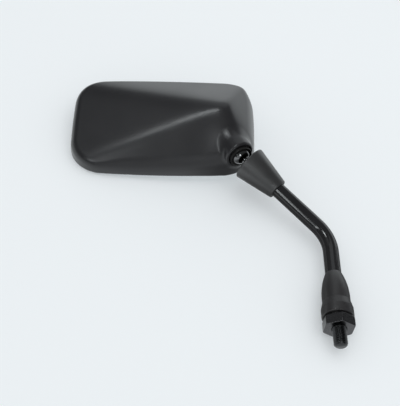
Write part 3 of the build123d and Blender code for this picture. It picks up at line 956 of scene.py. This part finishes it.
def tableFinish():
    finish, shader = newFinish("paleTable", stage["tableColour"], stage["tableRough"])
    feed(finish, shader, {"Specular IOR Level": stage["tableSheen"], "Emission Color": (*stage["tableGlow"], 1),
                          "Emission Strength": 1.0})   # light bounced within the white table
    place = splitPoint(finish)
    # painted shadow: the glow that reflections see is dimmed where X and Z lie within the stem's patch
    shadow = calc(finish, "MULTIPLY", spread(finish, place["X"], 0, 1, *mirrored["across"]),
                  spread(finish, place["Z"], 0, 1, *mirrored["up"]))
    shadow = calc(finish, "MULTIPLY", shadow, spread(finish, place["Z"], 1, 0, *mirrored["top"]))
    tableGlow = glow(finish, spread(finish, shadow, mirrored["pale"], mirrored["dim"], 0, 1))
    rays = addNode(finish, "ShaderNodeLightPath", {}).outputs
    facing = addNode(finish, "ShaderNodeNewGeometry", {}).outputs
    clear = addNode(finish, "ShaderNodeBsdfTransparent", {}).outputs   # the table's far side
    front = mixedShaders(finish, rays["Is Glossy Ray"], shader.outputs["BSDF"], tableGlow)
    giveSurface(finish, mixedShaders(finish, facing["Backfacing"], front, clear["BSDF"]))
    return finish


def glowFinish(name, strength=None):
    finish = bpy.data.materials.new(name)
    finish.use_nodes = True
    if strength is None:   # graded by height
        strength = spread(finish, splitPoint(finish)["Z"], room["pale"], room["deep"], *room["fade"])
    giveSurface(finish, glow(finish, strength))
    return finish


def tablePoint(across, up):
    away = stage["tableNear"] + stage["tableLean"] * (across / mm - stage["tableAcross"])
    return (across, away * mm, up)


def onlyMirrored(piece, camera=False):
    # left to reflections and, if asked, to the camera
    piece.visible_camera = camera
    for ray in ("diffuse", "transmission", "shadow"):
        setattr(piece, "visible_" + ray, False)


def flatCard(name, corners, finish, camera=False):
    onlyMirrored(addPiece(name, corners, [(0, 1, 2, 3)], finish), camera)


size = stage["tableSize"]
flatCard("table", [tablePoint(size * x, size * y) for x, y in square], tableFinish(), camera=True)

stageMiddle = Vector(stage["middle"])
for name, (direction, distance, width, height, strength) in cards.items():
    aim = Vector(direction).normalized()
    upright = Vector((0, -1, 0)) if abs(aim.y) < stage["facingAim"] else Vector((0, 0, 1))
    side = upright.cross(aim).normalized() * width / 2
    lift = aim.cross(side).normalized() * height / 2
    centre = stageMiddle + aim * distance
    flatCard(name, [centre + side * x + lift * y for x, y in square], glowFinish(name, strength))

roomCorners = [(room["reach"] * x, room["distance"], room["low"] if y < 0 else room["high"]) for x, y in square]
flatCard("roomBehind", roomCorners, glowFinish("roomBehind"))   # for the mirror glass

hoodAngles = [math.pi / 2 * k / stage["hoodSteps"] for k in range(stage["hoodSteps"] + 1)]
hoodRadius = stage["hoodRadius"] / mm
hoodOuter = [(math.cos(angle) * hoodRadius, math.sin(angle) * hoodRadius) for angle in hoodAngles]
hoodLine = hoodOuter + [(x * stage["hoodInner"], y * stage["hoodInner"]) for x, y in hoodOuter[::-1]]
hoodPlace = Matrix.Translation(stageMiddle) @ Matrix.Rotation(math.pi / 2, 4, "X") @ Matrix.Scale(mm, 4)
hood = turnedPiece("hood", hoodLine, hoodPlace, glowFinish("hood", stage["hoodGlow"]), segments=32)
onlyMirrored(hood)
print("stage set:", len(cards), "cards")

# World: pale where it is seen, white where it only lights
world = bpy.data.worlds.new("paleRoom")
bpy.context.scene.world = world
world.use_nodes = True
seen = world.node_tree.nodes["Background"]
feed(world, seen, {"Color": (*stage["paleColour"], 1)})
lighting = addNode(world, "ShaderNodeBackground", {"Color": (1, 1, 1, 1), "Strength": stage["worldLight"]})
rays = addNode(world, "ShaderNodeLightPath", {}).outputs
anySeen = calc(world, "MAXIMUM", rays["Is Camera Ray"], rays["Is Glossy Ray"])
anySeen = calc(world, "MAXIMUM", anySeen, rays["Is Transmission Ray"])
chosen = mixedShaders(world, anySeen, lighting.outputs[0], seen.outputs[0])
feed(world, world.node_tree.nodes["World Output"], {"Surface": chosen})

lamps = {   # direction from the object, distance, side, watts
    "softboxFill": ((0.22, -0.95, 0.0), 1.4, 1.4, 4.2),
    "glassSide": ((-0.3, 0.9, 0.3), 1.6, 0.8, 5.0),
}
lampTarget = Vector((-0.09, -0.02, 0.12))
for name, (direction, distance, side, power) in lamps.items():
    lamp = bpy.data.lights.new(name, "AREA")
    lamp.size = side
    lamp.energy = power
    holder = bpy.data.objects.new(name, lamp)
    aim = Vector(direction).normalized()
    holder.location = lampTarget + aim * distance
    holder.rotation_euler = (-aim).to_track_quat("-Z", "Y").to_euler()
    holder.visible_camera = False
    holder.visible_glossy = False
    bpy.context.scene.collection.objects.link(holder)

# Camera at the photograph's viewing angle
view = {"eye": (-0.099672, -0.487906, -0.291313), "elevation": 39.6345, "roll": 1.2038, "lens": 72.0, "sensor": 36.0,
        "clipStart": 0.01}
camera = bpy.data.cameras.new("photoCamera")
camera.lens = view["lens"]
camera.sensor_width = view["sensor"]
camera.sensor_fit = "HORIZONTAL"
camera.clip_start = view["clipStart"]
cameraHolder = bpy.data.objects.new("photoCamera", camera)
tip = Matrix.Rotation(math.radians(90 + view["elevation"]), 4, "X")
roll = Matrix.Rotation(math.radians(view["roll"]), 4, "Z")
cameraHolder.matrix_world = Matrix.Translation(view["eye"]) @ tip @ roll
bpy.context.scene.collection.objects.link(cameraHolder)
bpy.context.scene.camera = cameraHolder
bpy.context.scene.view_settings.view_transform = "Standard"
